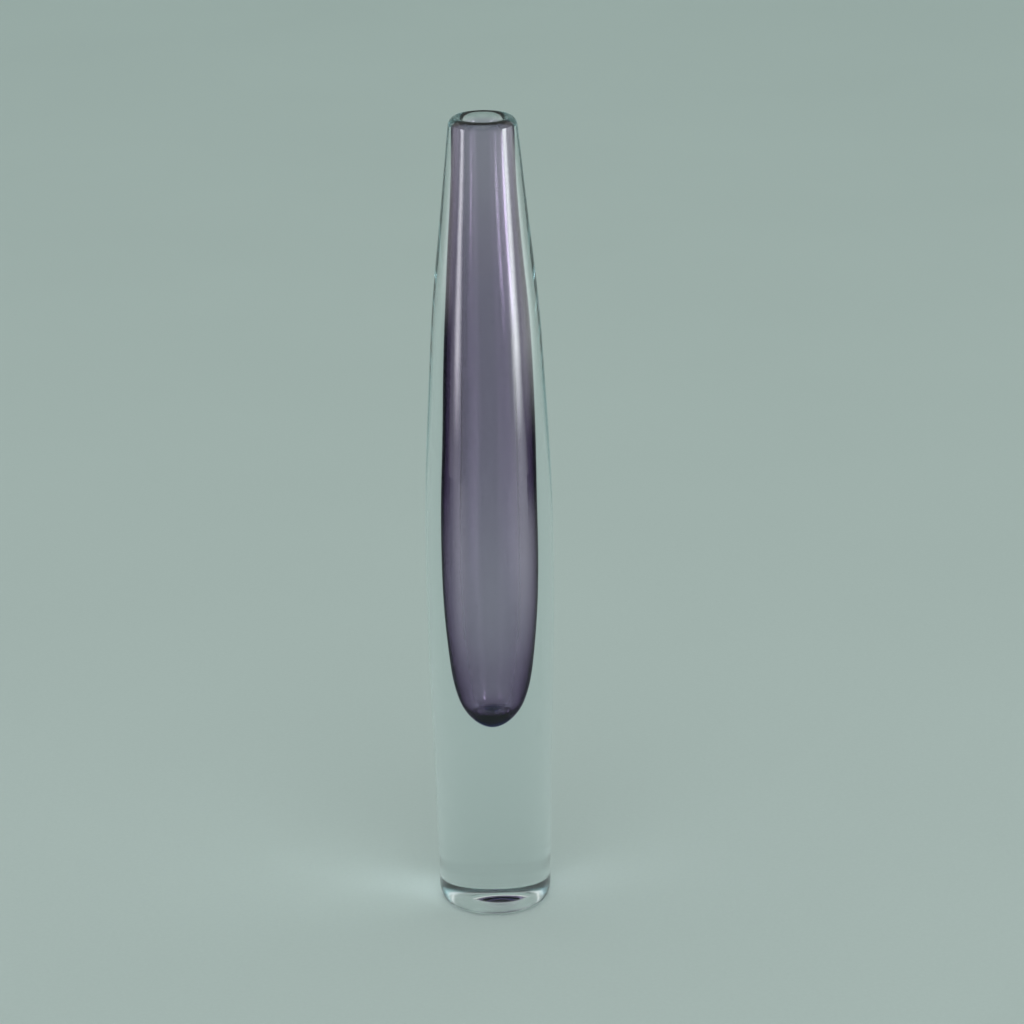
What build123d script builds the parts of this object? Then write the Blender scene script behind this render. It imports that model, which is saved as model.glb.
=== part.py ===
from build123d import *
import os

# Hand blown bud vase in cased glass.
# A bubble of amethyst glass was gathered first, then covered with a thick overlay of clear glass,
# so the vase is two bodies of revolution fused face to face. All sizes are in millimetres.
# The origin is at the centre of the foot, on the surface the vase stands on, and +Z points up.

# ---------------------------------------------------------------- driving dimensions
HEIGHT = 280.0             # foot to the crest of the lip
FOOT_RADIUS = 19.5         # radius of the side just above the heel
HEEL_WIDTH = 2.5           # the softly rounded heel reaches this far in under the side
HEEL_HEIGHT = 6.0          # and this far up it
LIP_CREST_RADIUS = 9.0     # radius of the circle along the top of the rounded lip
THROAT_RADIUS = 6.35       # radius of the mouth where the lip runs into the cavity wall
THROAT_DROP = 3.0          # depth of the throat under the crest of the lip
BUBBLE_END = 67.0          # height of the amethyst bubble's closed end: solid clear glass below it
TIP_POOL = 3.6             # thickness of the amethyst where it pooled at the bubble's end
HOLLOW_DIAMETER = 10.7     # ground and polished hollow where the pontil was cracked off
HOLLOW_DEPTH = 1.6         # depth of that hollow
HOLLOW_PLACE = (0.9, 6.0)  # the pontil sat this far off the axis, along X and Y

# Side of the casing: (radius, height) where the hand-blown outline changes its bend.
SIDE_STATIONS = [
    (19.9, 25.0),      # straight, very slightly spreading lower body
    (20.3, 50.0),
    (21.3, 82.0),
    (21.8, 122.0),     # widest
    (21.2, 158.0),
    (19.4, 192.5),     # shoulder
    (17.8, 217.0),
    (15.2, 242.0),     # neck
    (12.8, 265.0),
    (11.5, 277.5),     # under the lip
]

# Outside of the amethyst bubble, from near its closed end up to the mouth.
BUBBLE_STATIONS = [
    (4.1, 69.7),
    (7.35, 77.3),
    (9.2, 92.0),
    (10.15, 109.0),
    (10.5, 130.0),     # widest
    (10.2, 165.0),
    (9.2, 211.0),
    (7.7, 243.5),
    (7.0, 262.0),      # neck
    (6.85, 273.0),
    (6.85, 283.0),     # runs out past the lip, where the lip's own curve trims it
]

# Wall of the air cavity: the amethyst is thickest in the upper body and thin at the mouth.
CAVITY_STATIONS = [
    (3.2, 71.4),
    (5.45, 73.9),
    (6.75, 78.0),
    (8.55, 92.0),
    (9.6, 109.0),
    (9.92, 130.0),
    (9.48, 165.0),
    (8.48, 211.0),
    (7.1, 243.5),
    (6.5, 262.0),
]

PARTS = "parts"


def turned(outline):
    """Turn a closed outline, drawn as (radius, height), about the vase's axis."""
    return revolve(Plane.XZ * make_face(outline), axis=Axis.Z)


def smooth(stations, first_way, last_way):
    """A cubic spline through the stations that leaves and arrives at unit speed in the given directions."""
    return Spline(stations, tangents=[first_way, last_way], tangent_scalars=[1.0, 1.0])


# ---------------------------------------------------------------- outside of the vase, over the lip, into the throat
foot = Line((0, 0), (FOOT_RADIUS - HEEL_WIDTH, 0))
heel_centre = (FOOT_RADIUS - HEEL_WIDTH, HEEL_HEIGHT)
heel = EllipticalCenterArc(heel_centre, HEEL_WIDTH, HEEL_HEIGHT, start_angle=270, arc_size=90)
under_lip = (-0.11, 1.0)
side = smooth([heel @ 1, *SIDE_STATIONS], heel % 1, under_lip)
crest = (LIP_CREST_RADIUS, HEIGHT)
throat = (THROAT_RADIUS, HEIGHT - THROAT_DROP)
lip_outside = smooth([side @ 1, crest], side % 1, (-1, 0))
lip_inside = smooth([crest, throat], (-1, 0), (0, -1))

# ---------------------------------------------------------------- air cavity
cavity_end = (0, BUBBLE_END + TIP_POOL)
cavity_wall = smooth([cavity_end, *CAVITY_STATIONS, throat], (1, 0), (0, 1))
axis_line = Line((0, 0), cavity_end)
blown_form = turned([foot, heel, side, lip_outside, lip_inside, cavity_wall, axis_line])

# ---------------------------------------------------------------- amethyst bubble, as one solid to its outside
bubble_wall = smooth([(0, BUBBLE_END), *BUBBLE_STATIONS], (1, 0), (0, 1))
bubble_top = BUBBLE_STATIONS[-1][1]
bubble_lid = Line(bubble_wall @ 1, (0, bubble_top))
bubble_axis = Line((0, bubble_top), (0, BUBBLE_END))
bubble = turned([bubble_wall, bubble_lid, bubble_axis])

# ---------------------------------------------------------------- polished pontil hollow
hollow_half = HOLLOW_DIAMETER / 2
ball_radius = (hollow_half**2 + HOLLOW_DEPTH**2) / (2 * HOLLOW_DEPTH)
pontil_ball = Pos(*HOLLOW_PLACE, HOLLOW_DEPTH - ball_radius) * Sphere(ball_radius)

# ---------------------------------------------------------------- the two glass bodies
clear_casing = blown_form - bubble - pontil_ball
amethyst_underlay = blown_form & bubble

os.makedirs(PARTS, exist_ok=True)
export_step(clear_casing, f"{PARTS}/clear_casing.step")
export_step(amethyst_underlay, f"{PARTS}/amethyst_underlay.step")
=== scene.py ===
# %% [markdown]
# # A hand blown bud vase in cased glass
#
# The vase is made at the furnace in two gathers. The first is a small bubble of amethyst glass. It is
# covered with a thick overlay of clear glass, stretched, and opened at the mouth. So there are only two
# bodies: a thin amethyst lining around a long air cavity, and the heavy clear casing around it.
# What makes this object is refraction, so this script spends its effort on exact surfaces, on a
# nested pair of glass materials that bend light only where real glass would, and on a studio whose
# soft panels draw the long lights in it.

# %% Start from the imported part
import math

import bpy
import numpy as np
from mathutils import Matrix, Vector


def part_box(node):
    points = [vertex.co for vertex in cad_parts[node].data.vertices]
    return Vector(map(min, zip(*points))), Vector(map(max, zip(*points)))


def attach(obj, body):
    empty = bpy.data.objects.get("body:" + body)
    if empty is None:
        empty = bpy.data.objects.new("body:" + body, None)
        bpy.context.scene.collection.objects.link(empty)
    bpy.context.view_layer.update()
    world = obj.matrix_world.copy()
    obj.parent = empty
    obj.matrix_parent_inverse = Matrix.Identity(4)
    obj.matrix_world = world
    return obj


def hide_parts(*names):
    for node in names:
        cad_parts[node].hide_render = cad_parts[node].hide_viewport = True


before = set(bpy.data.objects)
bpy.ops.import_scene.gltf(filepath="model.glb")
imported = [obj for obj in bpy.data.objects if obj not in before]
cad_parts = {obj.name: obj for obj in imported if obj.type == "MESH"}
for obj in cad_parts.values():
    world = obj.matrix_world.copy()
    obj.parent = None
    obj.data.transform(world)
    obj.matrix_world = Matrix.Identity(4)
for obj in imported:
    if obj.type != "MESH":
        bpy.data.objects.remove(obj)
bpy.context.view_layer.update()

MM = 0.001
vase_low, vase_high = (np.array(corner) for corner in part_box("clear_casing"))
HEIGHT = float(vase_high[2]) / MM
print("vase height (mm):", round(HEIGHT, 2), "girth (mm):", round(float(vase_high[0] - vase_low[0]) / MM, 2))

# %% [markdown]
# ## One smooth line through a few stations
#
# A gaffer shapes the vase with a few moves, so its outline needs only a few stations. A clamped cubic
# spline passes through all of them with no jump of curvature that a reflection would show. The line
# could come from a Blender curve object, but solving it in numpy keeps every point exact and gives the
# direction at each end, so that two lines can meet without a kink.

# %% A clamped cubic spline


def smooth_line(stations, count, start_way, end_way):
    """Points on a cubic spline through stations, evenly spaced by the distance between stations.

    Each span is a cubic. The slopes at the inner stations make the second derivative match on both
    sides, which is one linear equation per station, and the two end slopes are the given directions.
    """
    knots = np.asarray(stations, float)
    spans = np.linalg.norm(np.diff(knots, axis=0), axis=1)
    place = np.concatenate([[0.0], np.cumsum(spans)])
    total = len(knots)
    rule = np.zeros((total, total))
    wanted = np.zeros((total, 2))
    rule[0, 0] = rule[-1, -1] = 1.0
    wanted[0] = np.asarray(start_way, float) / np.linalg.norm(start_way)
    wanted[-1] = np.asarray(end_way, float) / np.linalg.norm(end_way)
    middle = np.arange(1, total - 1)
    rule[middle, middle - 1] = spans[1:]
    rule[middle, middle] = 2 * (spans[:-1] + spans[1:])
    rule[middle, middle + 1] = spans[:-1]
    rise = np.diff(knots, axis=0) / spans[:, None]
    wanted[1:-1] = 3 * (spans[1:, None] * rise[:-1] + spans[:-1, None] * rise[1:])
    slopes = np.linalg.solve(rule, wanted)
    along = np.linspace(0.0, place[-1], count)
    span = np.clip(np.searchsorted(place, along, side="right") - 1, 0, total - 2)
    h = spans[span][:, None]
    t = ((along - place[span]) / spans[span])[:, None]
    return (
        (2 * t**3 - 3 * t**2 + 1) * knots[span]
        + (t**3 - 2 * t**2 + t) * h * slopes[span]
        + (3 * t**2 - 2 * t**3) * knots[span + 1]
        + (t**3 - t**2) * h * slopes[span + 1]
    )


def oval_arc(centre, wide, tall, first_degrees, last_degrees, count):
    """Points on an ellipse: centre plus (wide cos a, tall sin a) for an evenly stepped angle a."""
    angle = np.radians(np.linspace(first_degrees, last_degrees, count))
    return np.stack([centre[0] + wide * np.cos(angle), centre[1] + tall * np.sin(angle)], axis=1)


# %% [markdown]
# ## The outlines
#
# An outline is a list of (radius, height) in millimetres, with the same driving sizes as the packed
# part. The casing's outline runs from the polished hollow under the foot, over the heel, up the side,
# over the fire-polished lip, and down the wall of the air cavity to its closed end.

# %% Outside of the vase, over the lip
FOOT_RADIUS = 19.5
HEEL_WIDTH = 2.5
HEEL_HEIGHT = 6.0
LIP_CREST_RADIUS = 9.0
THROAT = (6.35, HEIGHT - 3.0)
SIDE_STATIONS = [
    (19.9, 25.0), (20.3, 50.0), (21.3, 82.0), (21.8, 122.0), (21.2, 158.0),
    (19.4, 192.5), (17.8, 217.0), (15.2, 242.0), (12.8, 265.0), (11.5, 277.5),
]
UNDER_LIP_WAY = (-0.11, 1.0)

foot_flat_radius = FOOT_RADIUS - HEEL_WIDTH
heel = oval_arc((foot_flat_radius, HEEL_HEIGHT), HEEL_WIDTH, HEEL_HEIGHT, -90.0, 0.0, 28)
side = smooth_line([heel[-1], *SIDE_STATIONS], 190, (0, 1), UNDER_LIP_WAY)
crest = (LIP_CREST_RADIUS, HEIGHT)
lip_outside = smooth_line([side[-1], crest], 30, UNDER_LIP_WAY, (-1, 0))
lip_inside = smooth_line([crest, THROAT], 30, (-1, 0), (0, -1))
outside_line = np.concatenate([heel, side[1:], lip_outside[1:], lip_inside[1:]])
print("points along the outside:", len(outside_line))

# %% The amethyst bubble and the air cavity
BUBBLE_END = 67.0
TIP_POOL = 3.6
BUBBLE_STATIONS = [
    (4.1, 69.7), (7.35, 77.3), (9.2, 92.0), (10.15, 109.0), (10.5, 130.0), (10.2, 165.0),
    (9.2, 211.0), (7.7, 243.5), (7.0, 262.0), (6.85, 273.0), (6.85, 283.0),
]
CAVITY_STATIONS = [
    (3.2, 71.4), (5.45, 73.9), (6.75, 78.0), (8.55, 92.0), (9.6, 109.0), (9.92, 130.0),
    (9.48, 165.0), (8.48, 211.0), (7.1, 243.5), (6.5, 262.0),
]
bubble_outside = smooth_line([(0, BUBBLE_END), *BUBBLE_STATIONS], 190, (1, 0), (0, 1))
cavity_line = smooth_line([(0, BUBBLE_END + TIP_POOL), *CAVITY_STATIONS, THROAT], 190, (1, 0), (0, 1))
print("widest air cavity (mm):", round(float(cavity_line[:, 0].max()) * 2, 2))

# %% The polished hollow under the foot
HOLLOW_RADIUS = 5.35
HOLLOW_DEPTH = 1.6
HOLLOW_PLACE = np.array([0.9, 6.0])
ball_radius = (HOLLOW_RADIUS**2 + HOLLOW_DEPTH**2) / (2 * HOLLOW_DEPTH)
hollow_degrees = math.degrees(math.asin(HOLLOW_RADIUS / ball_radius))
ball_middle = (0.0, HOLLOW_DEPTH - ball_radius)
hollow = oval_arc(ball_middle, ball_radius, ball_radius, 90.0, 90.0 - hollow_degrees, 32)
flat_steps = np.linspace(0, 1, 22)[1:-1]
flat_radii = HOLLOW_RADIUS + (foot_flat_radius - HOLLOW_RADIUS) * flat_steps
foot_flat = np.stack([flat_radii, np.zeros_like(flat_radii)], axis=1)
print("hollow ball radius (mm):", round(ball_radius, 2))

# %% [markdown]
# ## From an outline to a closed glass surface
#
# Every ring of the vase is a circle at one height, so a surface is a grid: one direction runs along
# the outline, the other goes round. Blown glass is never quite true, so each ring is a little oval,
# and that drifts slowly with height. At one height and angle the drift is the same share of every
# radius, so the lining and the casing stay parallel.

# %% Turn rings into a mesh
ROUND = 180
DRIFT_FULL_HEIGHT = 40.0
OVAL_SHARE = 0.0022
THREE_SIDED_SHARE = 0.0011


def hand_drift(radius, height, angle):
    """How far, in millimetres, blown glass wanders from a true circle.

    Two waves round the axis, an oval and a three-sided one, turn slowly with height. They grow with
    the radius and die away at the foot, which was ground flat.
    """
    grown = radius * np.clip(height / DRIFT_FULL_HEIGHT, 0.0, 1.0)
    oval = OVAL_SHARE * np.cos(2 * angle - 0.013 * height + 0.6)
    three = THREE_SIDED_SHARE * np.cos(3 * angle + 0.021 * height + 2.0)
    return grown * (oval + three)


def turned_mesh(name, line, shift=None):
    """A closed surface from rings: at angle a, a ring is shift + (r cos a, r sin a) at height z.

    The first and last outline points lie on the axis and become single poles.
    """
    if shift is None:
        shift = np.zeros((len(line), 2))
    radius = line[1:-1, 0][:, None]
    height = line[1:-1, 1][:, None]
    angle = np.linspace(0, 2 * np.pi, ROUND, endpoint=False)[None, :]
    drifted = radius + hand_drift(radius, height, angle)
    x = shift[1:-1, 0:1] + drifted * np.cos(angle)
    y = shift[1:-1, 1:2] + drifted * np.sin(angle)
    z = np.broadcast_to(height, x.shape)
    rings = np.stack([x, y, z], axis=2).reshape(-1, 3)
    poles = np.array([[*shift[0], line[0, 1]], [*shift[-1], line[-1, 1]]])
    points = np.concatenate([rings, poles]) * MM

    rows = len(line) - 2
    row, col = np.meshgrid(np.arange(rows - 1), np.arange(ROUND), indexing="ij")
    here = row * ROUND + col
    beside = row * ROUND + (col + 1) % ROUND
    quads = np.stack([here, beside, beside + ROUND, here + ROUND], axis=2).reshape(-1, 4)
    turn = np.arange(ROUND)
    after = (turn + 1) % ROUND
    first_pole, last_pole = rows * ROUND, rows * ROUND + 1
    last_row = (rows - 1) * ROUND
    first_fan = np.stack([np.full(ROUND, first_pole), after, turn], axis=1)
    last_fan = np.stack([np.full(ROUND, last_pole), last_row + turn, last_row + after], axis=1)

    mesh = bpy.data.meshes.new(name)
    mesh.from_pydata(points.tolist(), [], quads.tolist() + first_fan.tolist() + last_fan.tolist())
    mesh.update()
    mesh.polygons.foreach_set("use_smooth", np.ones(len(mesh.polygons), bool))
    piece = bpy.data.objects.new(name, mesh)
    bpy.context.scene.collection.objects.link(piece)
    print(name, "rings:", rows, "faces:", len(mesh.polygons))
    return piece


# %% [markdown]
# ## The clear casing
#
# The casing is one closed surface: hollow, foot, heel, side, lip, and then down the cavity wall. The
# wall of the cavity belongs to it because that is where glass really meets air. The boundary between
# clear and amethyst glass bends no light, so the lining is a body of colour inside this surface. A
# bubble hangs from a turning pipe, so it leans a third of a millimetre to one side at mid height.

# %% Build the casing
BUBBLE_LEAN = 0.33
LEAN_MIDDLE = 192.0
LEAN_REACH = 36.0


def bubble_lean(height):
    """How far the bubble leans towards +x at a height: a smooth hump, gone at the mouth and the foot."""
    return BUBBLE_LEAN * np.exp(-(((np.asarray(height) - LEAN_MIDDLE) / LEAN_REACH) ** 4))


casing_line = np.concatenate([hollow, foot_flat, outside_line, cavity_line[::-1][1:]])
casing_shift = np.zeros((len(casing_line), 2))
casing_shift[-len(cavity_line) + 1 :, 0] = bubble_lean(casing_line[-len(cavity_line) + 1 :, 1])
casing_shift[: len(hollow)] = HOLLOW_PLACE
casing_shift[len(hollow) : len(hollow) + len(foot_flat)] = HOLLOW_PLACE * (1 - flat_steps)[:, None]
casing = turned_mesh("crystal_casing", casing_line, casing_shift)

# %% [markdown]
# ## Seeds
#
# Hand-gathered glass keeps a few tiny bubbles, which gaffers call seeds. Each is a small ball with its
# faces turned inward, in the same mesh as the casing, so the renderer finds air inside it. The balls
# are drawn out upwards, because the glass was stretched after they were caught. Each row is x, y, z and
# radius in millimetres.

# %% Six seeds in the casing
SEED_ROUND = 12
SEED_RINGS = 7
SEED_STRETCH = 1.5
SEEDS = [
    (2.2, -13.0, 214.0, 0.20), (-4.4, -13.6, 191.0, 0.22), (-4.1, -15.5, 115.0, 0.24),
    (-10.9, -12.0, 137.0, 0.14), (3.5, -17.5, 52.0, 0.12), (9.5, -14.0, 31.0, 0.10),
]


def add_seeds(piece, seeds):
    """Add small closed spheres whose faces look inward, so that the glass ends at them."""
    around = np.linspace(0, 2 * np.pi, SEED_ROUND + 1)[:-1]
    across, up = np.meshgrid(around, np.linspace(0, np.pi, SEED_RINGS + 2)[1:-1])
    ball = np.stack([np.sin(up) * np.cos(across), np.sin(up) * np.sin(across), np.cos(up)], axis=2)
    ball = np.concatenate([ball.reshape(-1, 3), [(0, 0, 1), (0, 0, -1)]])
    row, col = np.meshgrid(np.arange(SEED_RINGS - 1), np.arange(SEED_ROUND), indexing="ij")
    corner = row * SEED_ROUND + col
    beside = row * SEED_ROUND + (col + 1) % SEED_ROUND
    bands = np.stack([corner, beside, beside + SEED_ROUND, corner + SEED_ROUND], axis=2).reshape(-1, 4)
    turn = np.arange(SEED_ROUND)
    after = (turn + 1) % SEED_ROUND
    top_pole, low_pole = SEED_RINGS * SEED_ROUND, SEED_RINGS * SEED_ROUND + 1
    last_ring = (SEED_RINGS - 1) * SEED_ROUND
    top_cap = np.stack([np.full(SEED_ROUND, top_pole), after, turn], axis=1)
    low_cap = np.stack([np.full(SEED_ROUND, low_pole), last_ring + turn, last_ring + after], axis=1)
    ball_faces = bands.tolist() + top_cap.tolist() + low_cap.tolist()
    mesh = piece.data
    points = np.empty(len(mesh.vertices) * 3)
    mesh.vertices.foreach_get("co", points)
    points = points.reshape(-1, 3).tolist()
    faces = [tuple(polygon.vertices) for polygon in mesh.polygons]
    for x, y, z, radius in seeds:
        first = len(points)
        points += ((ball * radius * (1, 1, SEED_STRETCH) + (x, y, z)) * MM).tolist()
        faces += [tuple(first + k for k in face) for face in ball_faces]
    filled = bpy.data.meshes.new(mesh.name)
    filled.from_pydata(points, [], faces)
    filled.polygons.foreach_set("use_smooth", np.ones(len(filled.polygons), bool))
    piece.data = filled


add_seeds(casing, SEEDS)
print("casing faces with seeds:", len(casing.data.polygons))

# %% [markdown]
# ## The amethyst lining
#
# The lining is the skin between the cavity and the casing. It stops two hundredths of a millimetre short
# of the cavity wall, inside the casing's surface, so that no two faces lie on each other.

# %% Build the lining
FACE_GAP = 0.02
RIM_GAP = 0.05


def grown_line(line, amount):
    """The line moved sideways by amount: each point goes along the line's own normal."""
    way = np.gradient(line, axis=0)
    way /= np.linalg.norm(way, axis=1)[:, None]
    moved = line + amount * np.stack([way[:, 1], -way[:, 0]], axis=1)
    moved[0, 0] = line[0, 0]
    return moved


inner_way = np.concatenate([cavity_line, lip_inside[::-1][1:]])
inner_face = grown_line(inner_way, FACE_GAP)
rim_radius = float(bubble_outside[-1, 0]) - RIM_GAP
over_rim = (inner_face[:, 0] > rim_radius) & (inner_face[:, 1] > THROAT[1])
inner_face = inner_face[: int(np.argmax(over_rim))]
outer_face = bubble_outside[bubble_outside[:, 1] < inner_face[-1, 1] - RIM_GAP]
lining_line = np.concatenate([outer_face, inner_face[::-1]])
lining_shift = np.stack([bubble_lean(lining_line[:, 1]), np.zeros(len(lining_line))], axis=1)
lining = turned_mesh("amethyst_lining", lining_line, lining_shift)
print("lining reaches up to (mm):", round(float(lining_line[:, 1].max()), 2))

# %% [markdown]
# ## The dark knob at the closed end
#
# A little lens of strong navy-blue colour sits inside the lining, under the end of the cavity, and
# darkens the closed end. It is a body of colour only, like the lining, so the two colours add up where
# they overlap.

# %% Build the knob
KNOB_TOP = 70.4
KNOB_GAP = 0.12
KNOB_CROWN = 0.35
knob_under = grown_line(bubble_outside, -KNOB_GAP)
knob_under = knob_under[knob_under[:, 1] < KNOB_TOP]
knob_steps = np.linspace(1, 0, 14)[1:]
knob_over = np.stack([knob_under[-1, 0] * knob_steps, KNOB_TOP + KNOB_CROWN * (1 - knob_steps**2)], axis=1)
knob = turned_mesh("deep_knob", np.concatenate([knob_under, knob_over]))
knob_points = np.empty(len(knob.data.vertices) * 3)
knob.data.vertices.foreach_get("co", knob_points)
knob_points = knob_points.reshape(-1, 3)
turn_angle = np.arctan2(knob_points[:, 1], knob_points[:, 0])
reach = np.hypot(knob_points[:, 0], knob_points[:, 1]) / (knob_under[-1, 0] * MM)
is_top = knob_points[:, 2] > (KNOB_TOP - 0.6) * MM
ragged = 0.22 * np.sin(5 * turn_angle + 0.8) + 0.16 * np.sin(11 * turn_angle)
knob_points[is_top, 2] += (ragged * np.clip(reach, 0, 1) ** 2 * MM)[is_top]
knob.data.vertices.foreach_set("co", knob_points.ravel())
knob.data.update()
print("knob top (mm):", round(float(knob_points[:, 2].max()) / MM, 2))

# %% [markdown]
# ## The worked lip
#
# The lip was sheared, reheated and smoothed with a tool. The dark grey-green ring round the mouth is
# painted shade: a closed tube of absorbing colour inside the casing, with an oval section that stays
# half a millimetre under the surface.

# %% Build the lip ring
LIP_RING_MIDDLE = (9.2, 278.35)
LIP_RING_WIDE, LIP_RING_TALL = 1.45, 1.15
LIP_RING_SECTION = 28


def tube_ring(name, middle, wide, tall, section):
    """A closed ring: the oval (wide cos s, tall sin s) about the middle point, turned about the axis."""
    angle, around = np.meshgrid(np.linspace(0, 2 * np.pi, ROUND, endpoint=False),
                                np.linspace(0, 2 * np.pi, section, endpoint=False))
    reach = middle[0] + wide * np.cos(around)
    level = middle[1] + tall * np.sin(around)
    points = np.stack([reach * np.cos(angle), reach * np.sin(angle), level], axis=2)
    row, col = np.meshgrid(np.arange(section), np.arange(ROUND), indexing="ij")
    next_row, next_col = (row + 1) % section, (col + 1) % ROUND
    here, beside = row * ROUND + col, row * ROUND + next_col
    above, above_beside = next_row * ROUND + col, next_row * ROUND + next_col
    faces = np.stack([here, beside, above_beside, above], axis=2).reshape(-1, 4)
    mesh = bpy.data.meshes.new(name)
    mesh.from_pydata((points.reshape(-1, 3) * MM).tolist(), [], faces.tolist())
    mesh.polygons.foreach_set("use_smooth", np.ones(len(mesh.polygons), bool))
    ring = bpy.data.objects.new(name, mesh)
    bpy.context.scene.collection.objects.link(ring)
    print(name, "faces:", len(mesh.polygons))
    return ring


# The lip ring is painted shade: a dark body of colour that darkens the ring round the mouth.
lip_shade_ring = tube_ring("lip_shade_ring", LIP_RING_MIDDLE, LIP_RING_WIDE, LIP_RING_TALL, LIP_RING_SECTION)

# %% [markdown]
# ## Glass
#
# Glass is a Principled shader that only transmits, with an absorption inside it that takes light away
# with distance, so thick glass is darker than thin glass with no colour painted on. The colour given is
# what the absorption lets through, and the density says how fast it works, per metre.

# %% A glass material


def glass_material(name, ior, absorb_colour, absorb_density):
    """A glass: all transmission at the surface, and light lost with distance inside."""
    material = bpy.data.materials.new(name)
    material.use_nodes = True
    nodes, links = material.node_tree.nodes, material.node_tree.links
    shader = nodes["Principled BSDF"]
    shader.inputs["Base Color"].default_value = (1, 1, 1, 1)
    shader.inputs["Transmission Weight"].default_value = 1.0
    shader.inputs["Roughness"].default_value = 0.0
    shader.inputs["IOR"].default_value = ior
    volume = nodes.new("ShaderNodeVolumeAbsorption")
    volume.inputs["Color"].default_value = (*absorb_colour, 1)
    volume.inputs["Density"].default_value = absorb_density
    links.new(volume.outputs["Volume"], nodes["Material Output"].inputs["Volume"])
    print(name, "index:", ior, "density per metre:", absorb_density)
    return material, nodes, links, shader


# %% [markdown]
# ## Small helpers for nodes
#
# A pattern is a little sum worked out at every point of a surface. These helpers add one node each, so
# that the sums below read from top to bottom. The easing curve is the smooth step, which has no corner
# at either end.

# %% Maths, easing, noise and ripples


def math_node(nodes, links, operation, *values):
    """A maths node; each value is a number or another node's output."""
    node = nodes.new("ShaderNodeMath")
    node.operation = operation
    for socket, value in zip(node.inputs, values):
        if isinstance(value, (int, float)):
            socket.default_value = value
        else:
            links.new(value, socket)
    return node.outputs[0]


def smooth_ramp(nodes, links, value, first, last, low, high):
    """A value that eases from low to high while the input goes from first to last."""
    node = nodes.new("ShaderNodeMapRange")
    node.interpolation_type = "SMOOTHSTEP"
    links.new(value, node.inputs["Value"])
    for socket, number in zip(("From Min", "From Max", "To Min", "To Max"), (first, last, low, high)):
        node.inputs[socket].default_value = number
    return node.outputs["Result"]


def noise_node(nodes, links, place, scale, detail):
    """Smooth noise of about 0 to 1, on the coordinates given."""
    node = nodes.new("ShaderNodeTexNoise")
    links.new(place.outputs["Object"], node.inputs["Vector"])
    node.inputs["Scale"].default_value = scale
    node.inputs["Detail"].default_value = detail
    return node.outputs[0]


def ripple(nodes, links, shader, place, scale, depth):
    """A very shallow waviness of the surface, like the marks a wet paddle leaves on hot glass."""
    bump = nodes.new("ShaderNodeBump")
    links.new(noise_node(nodes, links, place, scale, 1.0), bump.inputs["Height"])
    bump.inputs["Strength"].default_value = 1.0
    bump.inputs["Distance"].default_value = depth
    links.new(bump.outputs["Normal"], shader.inputs["Normal"])


# %% [markdown]
# ## Clear crystal
#
# The index of 1.52 bends the light at every face that meets air, and a faint absorption gives the thick
# parts their cool green tone. The foot was ground flat and the hollow polished, so the lowest band is
# frosted and the hollow is not: the roughness is a ramp in height times a ramp in distance from the
# hollow's middle.

# %% Clear crystal, with its ground foot
CRYSTAL_IOR = 1.52
CRYSTAL_PER_METRE = 4.4
GROUND_ROUGHNESS = 0.25
GROUND_FADE = (1.0, 2.4)
POLISH_FADE = (HOLLOW_RADIUS - 0.9, HOLLOW_RADIUS + 0.1)
CRYSTAL_RIPPLE = (34.0, 0.00005)
COOL_GREEN = (0.30, 0.57, 0.60)
crystal, nodes, links, shader = glass_material("clear_crystal", CRYSTAL_IOR, COOL_GREEN, CRYSTAL_PER_METRE)
place = nodes.new("ShaderNodeTexCoord")
split = nodes.new("ShaderNodeSeparateXYZ")
links.new(place.outputs["Object"], split.inputs["Vector"])
from_hollow_x = math_node(nodes, links, "SUBTRACT", split.outputs["X"], float(HOLLOW_PLACE[0]) * MM)
from_hollow_y = math_node(nodes, links, "SUBTRACT", split.outputs["Y"], float(HOLLOW_PLACE[1]) * MM)
squares = (
    math_node(nodes, links, "MULTIPLY", from_hollow_x, from_hollow_x),
    math_node(nodes, links, "MULTIPLY", from_hollow_y, from_hollow_y),
)
from_hollow = math_node(nodes, links, "SQRT", math_node(nodes, links, "ADD", *squares))
low_down = smooth_ramp(nodes, links, split.outputs["Z"], GROUND_FADE[0] * MM, GROUND_FADE[1] * MM, 1.0, 0.0)
off_hollow = smooth_ramp(nodes, links, from_hollow, POLISH_FADE[0] * MM, POLISH_FADE[1] * MM, 0.0, 1.0)
ground = math_node(nodes, links, "MULTIPLY", low_down, off_hollow)
links.new(math_node(nodes, links, "MULTIPLY", ground, GROUND_ROUGHNESS), shader.inputs["Roughness"])
ripple(nodes, links, shader, place, *CRYSTAL_RIPPLE)
casing.data.materials.append(crystal)
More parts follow.
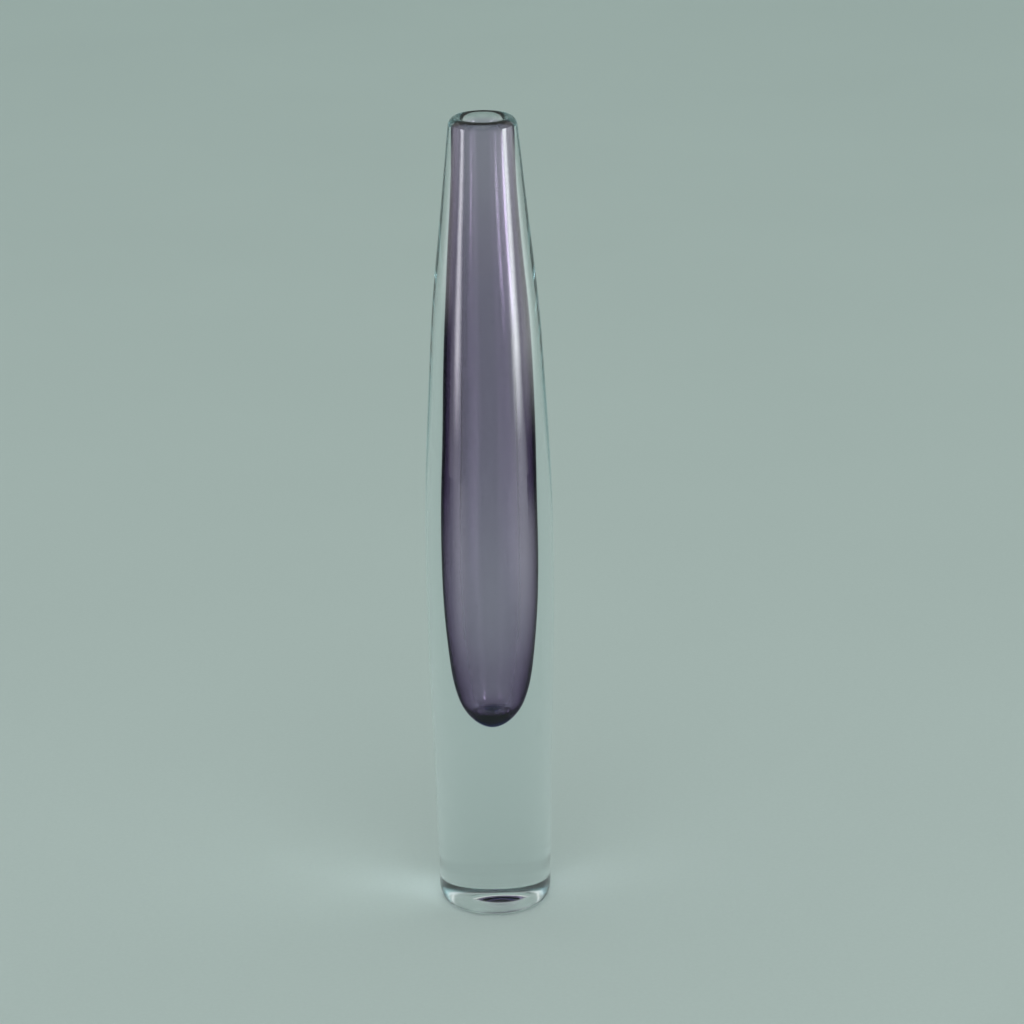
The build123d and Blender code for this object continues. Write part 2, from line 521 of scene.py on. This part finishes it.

# %% [markdown]
# ## The three bodies of colour
#
# Each of these bodies lies inside the casing. The renderer takes every face as if air were on its other
# side, so a body of colour that real light would cross without bending has an index of one, and the
# amethyst has a trace more. The densities are high because these bodies are a few millimetres thick or
# less.

# %% Amethyst, deep amethyst and the painted shade of the lip
AMETHYST_IOR = 1.02
COLOUR_ONLY_IOR = 1.0
AMETHYST_PER_METRE = 1000.0
KNOB_PER_METRE = 1000.0
LIP_SHADE_PER_METRE = 190.0
AMETHYST_RIPPLE = (60.0, 0.00004)
AMETHYST = (0.29, 0.11, 0.39)
DEEP_BLUE = (0.05, 0.40, 0.97)
# The lip's grey-green is painted shade that darkens the ring round the mouth.
LIP_SHADE_COLOUR = (0.25, 0.44, 0.43)
amethyst, nodes, links, shader = glass_material("amethyst_glass", AMETHYST_IOR, AMETHYST, AMETHYST_PER_METRE)
ripple(nodes, links, shader, nodes.new("ShaderNodeTexCoord"), *AMETHYST_RIPPLE)
lining.data.materials.append(amethyst)
deep = glass_material("deep_amethyst", COLOUR_ONLY_IOR, DEEP_BLUE, KNOB_PER_METRE)[0]
knob.data.materials.append(deep)
lip_shade_material = glass_material("lip_painted_shade", COLOUR_ONLY_IOR, LIP_SHADE_COLOUR, LIP_SHADE_PER_METRE)[0]
lip_shade_ring.data.materials.append(lip_shade_material)

# %% [markdown]
# ## Pieces and the frame
#
# The vase is one rigid body, so all four pieces ride on it. The casing and the lip ring stand for the
# packed clear casing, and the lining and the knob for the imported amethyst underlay.

# %% Join the pieces to the frame
CARRIED = [
    (casing, "clear_casing", "clear_glass"),
    (lining, "amethyst_underlay", "amethyst_glass"),
    (knob, "amethyst_underlay", "amethyst_glass"),
    (lip_shade_ring, "clear_casing", "clear_glass"),
]
for piece, node, slot in CARRIED:
    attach(piece, "root")
    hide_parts(node)
print("pieces joined:", len(CARRIED))

# %% [markdown]
# ## The studio
#
# The vase stands on a broad pale sweep of grey-green paper that bends up behind it. Paper is never one
# flat tone: a slow mottle and a fine fibre noise each change its brightness by a few hundredths.

# %% The paper sweep
FLOOR_HALF_WIDTH = 4.0
FLOOR_FRONT = -4.0
FLOOR_DROP = 0.00004
FLOOR_STEPS = 14
BEND_START = 1.75
BEND_RADIUS = 0.8
WALL_TOP = 2.8


def grid_faces(rows, columns):
    """Four-sided faces of an open grid whose points are stored row by row."""
    row, col = np.meshgrid(np.arange(rows - 1), np.arange(columns - 1), indexing="ij")
    corner = row * columns + col
    return np.stack([corner, corner + 1, corner + columns + 1, corner + columns], axis=2).reshape(-1, 4)


def stage_sheet(name, profile, across, material):
    """A stage surface: the (y, z) profile carried along x."""
    profile = np.asarray(profile, float)
    across = np.asarray(across, float)
    x, y = np.meshgrid(across, profile[:, 0])
    z = np.broadcast_to(profile[:, 1][:, None], x.shape)
    points = np.stack([x, y, z], axis=2).reshape(-1, 3)
    faces = grid_faces(len(profile), len(across))
    mesh = bpy.data.meshes.new(name)
    mesh.from_pydata(points.tolist(), [], faces.tolist())
    mesh.polygons.foreach_set("use_smooth", np.ones(len(mesh.polygons), bool))
    mesh.materials.append(material)
    sheet = bpy.data.objects.new(name, mesh)
    bpy.context.scene.collection.objects.link(sheet)
    return sheet


MOTTLE_SCALE, FIBRE_SCALE = 5.0, 700.0
TONE_SHARE = 0.05
paper = bpy.data.materials.new("grey_green_paper")
paper.use_nodes = True
shader = paper.node_tree.nodes["Principled BSDF"]
nodes, links = paper.node_tree.nodes, paper.node_tree.links
place = nodes.new("ShaderNodeTexCoord")
mottle = math_node(nodes, links, "MULTIPLY", noise_node(nodes, links, place, MOTTLE_SCALE, 3.0), TONE_SHARE)
fibre = math_node(nodes, links, "MULTIPLY", noise_node(nodes, links, place, FIBRE_SCALE, 2.0), TONE_SHARE)
tone = math_node(nodes, links, "ADD", math_node(nodes, links, "ADD", mottle, fibre), 1.0 - TONE_SHARE)
paper_colour = nodes.new("ShaderNodeMix")
paper_colour.data_type = "RGBA"
paper_colour.blend_type = "MULTIPLY"
paper_colour.inputs[0].default_value = 1.0
paper_colour.inputs[6].default_value = (0.672, 0.775, 0.753, 1)
links.new(tone, paper_colour.inputs[7])
links.new(paper_colour.outputs[2], shader.inputs["Base Color"])
shader.inputs["Roughness"].default_value = 0.85
shader.inputs["Specular IOR Level"].default_value = 0.2
floor_y = np.linspace(FLOOR_FRONT, BEND_START, FLOOR_STEPS)
floor_run = np.stack([floor_y, np.full(FLOOR_STEPS, -FLOOR_DROP)], axis=1)
bend = oval_arc((BEND_START, BEND_RADIUS), BEND_RADIUS, BEND_RADIUS, -90, 0, 20)[1:]
wall = [(BEND_START + BEND_RADIUS, height) for height in np.linspace(BEND_RADIUS, WALL_TOP, 5)[1:]]
sheet_x = np.linspace(-FLOOR_HALF_WIDTH, FLOOR_HALF_WIDTH, 9)
sweep = stage_sheet("paper_sweep", [*floor_run, *bend, *wall], sheet_x, paper)
print("paper faces:", len(sweep.data.polygons))

# %% [markdown]
# ## The overhead softbox
#
# Most of the light comes from the room itself. One weak softbox, high in front, lifts the foot and the
# floor a little. An area light is the plain choice, because it makes no hard shadow.

# %% Overhead softbox


def softbox(name, place, aim, width, height, watts):
    """A rectangular area light that looks from place to aim."""
    data = bpy.data.lights.new(name, "AREA")
    data.shape = "RECTANGLE"
    data.size = width
    data.size_y = height
    data.energy = watts
    light = bpy.data.objects.new(name, data)
    light.location = place
    way = Vector(aim) - Vector(place)
    light.rotation_euler = way.to_track_quat("-Z", "Y").to_euler()
    bpy.context.scene.collection.objects.link(light)
    return light


softbox("front_top", (0, -1.3, 2.3), (0, 0.1, 0), 1.6, 1.2, 5.0)

# %% [markdown]
# ## Side diffusers
#
# The long bright lines in a glass vase are pictures of whatever stands beside it. Here that is a curved
# white diffuser on each side, with a lamp behind it that shows as a soft bright core. The panels light
# only what is seen in and through the glass: they are hidden from the camera, from the paper and from
# shadows, so the paper stays even. A glowing panel would look black where it glows little, so the
# paper's own brightness is laid under the glow.

# %% Bent panels and light laid over paper
DIFFUSER_DISTANCE = 0.62
DIFFUSER_TOP = 0.42
PANEL_COLUMNS, PANEL_ROWS = 25, 9
PAPER_GLOW = (0.35, 0.44, 0.41, 1)


def hide_from_paper(piece):
    """Keep a stage light out of sight of the camera, the paper and shadows."""
    piece.visible_camera = False
    piece.visible_diffuse = False
    piece.visible_shadow = False
    bpy.context.scene.collection.objects.link(piece)


def arc_panel(name, side_sign, first_degrees, last_degrees, distance, bottom, top, material):
    """An upright panel bent round the vase: x = distance sin a, y = distance cos a, z from bottom to top.

    The angle a is measured from straight behind the vase, towards the side given by side_sign.
    """
    angle = np.radians(np.linspace(first_degrees, last_degrees, PANEL_COLUMNS))
    angle, height = np.meshgrid(angle, np.linspace(bottom, top, PANEL_ROWS))
    points = np.stack([side_sign * distance * np.sin(angle), distance * np.cos(angle), height], axis=2)
    mesh = bpy.data.meshes.new(name)
    mesh.from_pydata(points.reshape(-1, 3).tolist(), [], grid_faces(PANEL_ROWS, PANEL_COLUMNS).tolist())
    mesh.materials.append(material)
    panel = bpy.data.objects.new(name, mesh)
    hide_from_paper(panel)
    print(name, "degrees:", first_degrees, "to", last_degrees)


def light_over_paper(nodes, links, colour, strength, paper_part):
    """Emission of the given colour and strength, laid over the paper's own brightness."""
    light = nodes.new("ShaderNodeEmission")
    light.inputs["Color"].default_value = (*colour, 1)
    links.new(strength, light.inputs["Strength"])
    paper_light = nodes.new("ShaderNodeEmission")
    paper_light.inputs["Color"].default_value = PAPER_GLOW
    links.new(paper_part, paper_light.inputs["Strength"])
    both = nodes.new("ShaderNodeAddShader")
    links.new(light.outputs["Emission"], both.inputs[0])
    links.new(paper_light.outputs["Emission"], both.inputs[1])
    output = nodes.new("ShaderNodeOutputMaterial")
    links.new(both.outputs["Shader"], output.inputs["Surface"])


def angle_from_behind(nodes, links, split):
    """Degrees from straight behind the vase, towards either side: the arctangent of |x| over y."""
    outward = math_node(nodes, links, "ABSOLUTE", split.outputs["X"])
    angle = math_node(nodes, links, "ARCTAN2", outward, split.outputs["Y"])
    return math_node(nodes, links, "MULTIPLY", angle, 180 / math.pi)


# %% The diffusers' glow
LAMP_LINE_HEIGHTS = (0.15, 0.28)
BACK_EDGE = (58.0, 80.0)
FRONT_EDGE = (94.0, 112.0)
FRONT_EDGE_LEFT_OVER = 0.35
FRONT_FADE = (128.0, 142.0)
CORE_FOOT = (0.03, 0.10)
CORE_FOOT_LEFT_OVER = 0.08
PAST_SIDE = (101.0, 108.0)
BESIDE_MIDDLE = 95.0
BESIDE_FADE = (10.0, 16.0)
BESIDE_PAPER = 0.30


def diffuser_material(name, colour, core, core_half_width, skirt, lamp_low, lamp_high, skirt_from, skirt_to):
    """Light through a diffuser: a bright core where the lamp is, and a dim even skirt.

    The strength is core times a smooth bump of the angle away from the lamp's line, plus skirt times
    a smooth plateau. The lamp's line goes from the angle lamp_low near the floor to lamp_high above.
    """
    material = bpy.data.materials.new(name)
    material.use_nodes = True
    nodes, links = material.node_tree.nodes, material.node_tree.links
    nodes.clear()
    place = nodes.new("ShaderNodeTexCoord")
    split = nodes.new("ShaderNodeSeparateXYZ")
    links.new(place.outputs["Object"], split.inputs["Vector"])
    angle = angle_from_behind(nodes, links, split)
    lamp_line = smooth_ramp(nodes, links, split.outputs["Z"], *LAMP_LINE_HEIGHTS, lamp_low, lamp_high)
    away = math_node(nodes, links, "ABSOLUTE", math_node(nodes, links, "SUBTRACT", angle, lamp_line))
    bump = smooth_ramp(nodes, links, away, 0.0, core_half_width, core, 0.0)
    back_edge = smooth_ramp(nodes, links, angle, *BACK_EDGE, 0.0, skirt)
    front_edge = smooth_ramp(nodes, links, angle, *FRONT_EDGE, 1.0, FRONT_EDGE_LEFT_OVER)
    plateau = math_node(nodes, links, "MULTIPLY", back_edge, front_edge)
    fade_front = smooth_ramp(nodes, links, angle, *FRONT_FADE, 1.0, 0.0)
    core_low = smooth_ramp(nodes, links, split.outputs["Z"], *CORE_FOOT, CORE_FOOT_LEFT_OVER, 1.0)
    skirt_low = smooth_ramp(nodes, links, split.outputs["Z"], skirt_from, skirt_to, 0.0, 1.0)
    past_side = smooth_ramp(nodes, links, angle, *PAST_SIDE, 0.0, 1.0)
    gate = math_node(nodes, links, "MAXIMUM", skirt_low, past_side)
    bump = math_node(nodes, links, "MULTIPLY", bump, core_low)
    strength = math_node(nodes, links, "MULTIPLY", math_node(nodes, links, "ADD", bump, plateau), fade_front)
    strength = math_node(nodes, links, "MULTIPLY", strength, gate)
    beside = math_node(nodes, links, "ABSOLUTE", math_node(nodes, links, "SUBTRACT", angle, BESIDE_MIDDLE))
    paper_part = smooth_ramp(nodes, links, beside, *BESIDE_FADE, BESIDE_PAPER, 1.0)
    light_over_paper(nodes, links, colour, strength, paper_part)
    return material


LEFT_LIGHT, RIGHT_LIGHT = (1.0, 0.98, 1.06), (0.95, 1.0, 1.02)
left_glow = diffuser_material("left_diffuser", LEFT_LIGHT, 8.0, 11.0, 1.7, 120.0, 110.0, 0.085, 0.16)
right_glow = diffuser_material("right_diffuser", RIGHT_LIGHT, 13.0, 14.0, 3.0, 117.0, 104.0, 0.02, 0.09)
arc_panel("left_diffuser", -1, 50.0, 142.0, DIFFUSER_DISTANCE, 0.0, DIFFUSER_TOP, left_glow)
arc_panel("right_diffuser", 1, 50.0, 142.0, DIFFUSER_DISTANCE, 0.0, DIFFUSER_TOP, right_glow)

# %% [markdown]
# ## The diffusers' light on the floor
#
# The glass also shows the floor near each diffuser, where its light spills. The spill is a flat piece of
# a ring just above the paper, seen only in the glass, as the panels are. Beside the vase the diffuser's
# foot shades the floor, so there the paper's own brightness fades with distance too.

# %% Glow and shade on the floor
GLOW_NEAR, GLOW_FAR = 0.19, 0.62
GLOW_HEIGHT = 0.0008
GLOW_FULL = 0.42
PAPER_SHADE = (0.36, 0.58)
SPILL_SHADE = (0.44, 0.60)
SHADED_PAPER = 0.28
SHEET_COLUMNS, SHEET_ROWS = 21, 9


def glow_material(name, colour, strength, middle_degrees, half_degrees, shaded):
    """Light spilled on the floor: a smooth bump in angle, rising with distance from the vase.

    Where the floor is shaded, the paper and the spill both fade towards the diffuser's foot.
    """
    material = bpy.data.materials.new(name)
    material.use_nodes = True
    nodes, links = material.node_tree.nodes, material.node_tree.links
    nodes.clear()
    place = nodes.new("ShaderNodeTexCoord")
    split = nodes.new("ShaderNodeSeparateXYZ")
    links.new(place.outputs["Object"], split.inputs["Vector"])
    angle = angle_from_behind(nodes, links, split)
    away = math_node(nodes, links, "ABSOLUTE", math_node(nodes, links, "SUBTRACT", angle, middle_degrees))
    bump = smooth_ramp(nodes, links, away, 0.0, half_degrees, strength, 0.0)
    x_squared = math_node(nodes, links, "MULTIPLY", split.outputs["X"], split.outputs["X"])
    y_squared = math_node(nodes, links, "MULTIPLY", split.outputs["Y"], split.outputs["Y"])
    reach = math_node(nodes, links, "SQRT", math_node(nodes, links, "ADD", x_squared, y_squared))
    rise = smooth_ramp(nodes, links, reach, GLOW_NEAR, GLOW_FULL, 0.0, 1.0)
    paper_part = smooth_ramp(nodes, links, reach, *PAPER_SHADE, 1.0, SHADED_PAPER if shaded else 1.0)
    spill_part = smooth_ramp(nodes, links, reach, *SPILL_SHADE, 1.0, 0.0 if shaded else 1.0)
    rise = math_node(nodes, links, "MULTIPLY", rise, spill_part)
    light_over_paper(nodes, links, colour, math_node(nodes, links, "MULTIPLY", bump, rise), paper_part)
    return material


def arc_sheet(name, side_sign, first_degrees, last_degrees, material):
    """A flat piece of a ring just above the floor: x = r sin a and y = r cos a at radius r and angle a."""
    angle = np.radians(np.linspace(first_degrees, last_degrees, SHEET_COLUMNS))
    angle, reach = np.meshgrid(angle, np.linspace(GLOW_NEAR, GLOW_FAR, SHEET_ROWS))
    level = np.full_like(reach, GLOW_HEIGHT)
    points = np.stack([side_sign * reach * np.sin(angle), reach * np.cos(angle), level], axis=2)
    mesh = bpy.data.meshes.new(name)
    mesh.from_pydata(points.reshape(-1, 3).tolist(), [], grid_faces(SHEET_ROWS, SHEET_COLUMNS).tolist())
    mesh.materials.append(material)
    hide_from_paper(bpy.data.objects.new(name, mesh))
    print(name, "degrees:", first_degrees, "to", last_degrees)


left_floor = glow_material("left_floor_glow", LEFT_LIGHT, 1.3, 126.0, 22.0, False)
left_shade = glow_material("left_floor_shade", LEFT_LIGHT, 0.2, 106.0, 16.0, True)
right_floor = glow_material("right_floor_glow", RIGHT_LIGHT, 1.9, 114.0, 36.0, False)
right_shade = glow_material("right_floor_shade", RIGHT_LIGHT, 1.9, 114.0, 36.0, True)
arc_sheet("left_floor_glow", -1, 106.0, 158.0, left_floor)
arc_sheet("left_floor_shade", -1, 80.0, 106.0, left_shade)
arc_sheet("right_floor_glow", 1, 106.0, 150.0, right_floor)
arc_sheet("right_floor_shade", 1, 78.0, 106.0, right_shade)

# %% [markdown]
# ## High side screens
#
# The flat base works as a mirror, so the foot shows what stands high up behind and beside the vase. A
# pale screen on each side keeps the foot light. The screens too are seen only in the glass.

# %% High side screens
HIGH_DISTANCE = 1.1
HIGH_BOTTOM, HIGH_TOP = 0.40, 1.35
high_white = bpy.data.materials.new("high_screen")
high_white.use_nodes = True
nodes, links = high_white.node_tree.nodes, high_white.node_tree.links
nodes.clear()
light = nodes.new("ShaderNodeEmission")
light.inputs["Color"].default_value = (0.97, 1.0, 0.98, 1)
light.inputs["Strength"].default_value = 1.2
output = nodes.new("ShaderNodeOutputMaterial")
links.new(light.outputs["Emission"], output.inputs["Surface"])
arc_panel("left_high_screen", -1, 46.0, 125.0, HIGH_DISTANCE, HIGH_BOTTOM, HIGH_TOP, high_white)
arc_panel("right_high_screen", 1, 46.0, 125.0, HIGH_DISTANCE, HIGH_BOTTOM, HIGH_TOP, high_white)

# %% [markdown]
# ## Light from the room
#
# A pale, slightly green room lights the paper evenly from all sides. It does nearly all of the work.

# %% Soft light from the whole room
ROOM_STRENGTH = 0.535
world = bpy.data.worlds.new("room")
world.use_nodes = True
world.node_tree.nodes["Background"].inputs["Color"].default_value = (0.93, 1.0, 0.965, 1)
world.node_tree.nodes["Background"].inputs["Strength"].default_value = ROOM_STRENGTH
bpy.context.scene.world = world
print("room strength:", ROOM_STRENGTH)

# %% [markdown]
# ## The camera
#
# The camera looks down at about nineteen degrees, with a long lens, so the vase keeps its proportions.
# It is rolled by less than a degree, as a hand-held camera is.

# %% Camera
CAMERA_PLACE = (0.0, -1.1893, 0.5546)
CAMERA_AIM = (0.0078, 0.0, 0.1424)
CAMERA_LENS = 130.0
CAMERA_ROLL = math.radians(0.85)
camera_data = bpy.data.cameras.new("camera")
camera_data.lens = CAMERA_LENS
camera_data.sensor_width = 36.0
camera_data.clip_end = 50.0
camera = bpy.data.objects.new("camera", camera_data)
camera.location = CAMERA_PLACE
aim_way = Vector(CAMERA_AIM) - Vector(CAMERA_PLACE)
look = aim_way.to_track_quat("-Z", "Y").to_matrix().to_4x4() @ Matrix.Rotation(-CAMERA_ROLL, 4, "Z")
camera.rotation_euler = look.to_euler()
bpy.context.scene.collection.objects.link(camera)
bpy.context.scene.camera = camera
print("camera looks down by (degrees):", round(math.degrees(math.asin(-aim_way.normalized().z)), 1))

# %% [markdown]
# ## What glass asks of the renderer
#
# Light crosses many faces inside a thick vase before it leaves. With too few bounces it would be cut
# off and leave black patches. The Standard view shows the colours as they are set.

# %% Bounces and view
bpy.context.scene.view_settings.view_transform = "Standard"
bpy.context.scene.cycles.max_bounces = 32
bpy.context.scene.cycles.transmission_bounces = 32
bpy.context.scene.cycles.glossy_bounces = 16
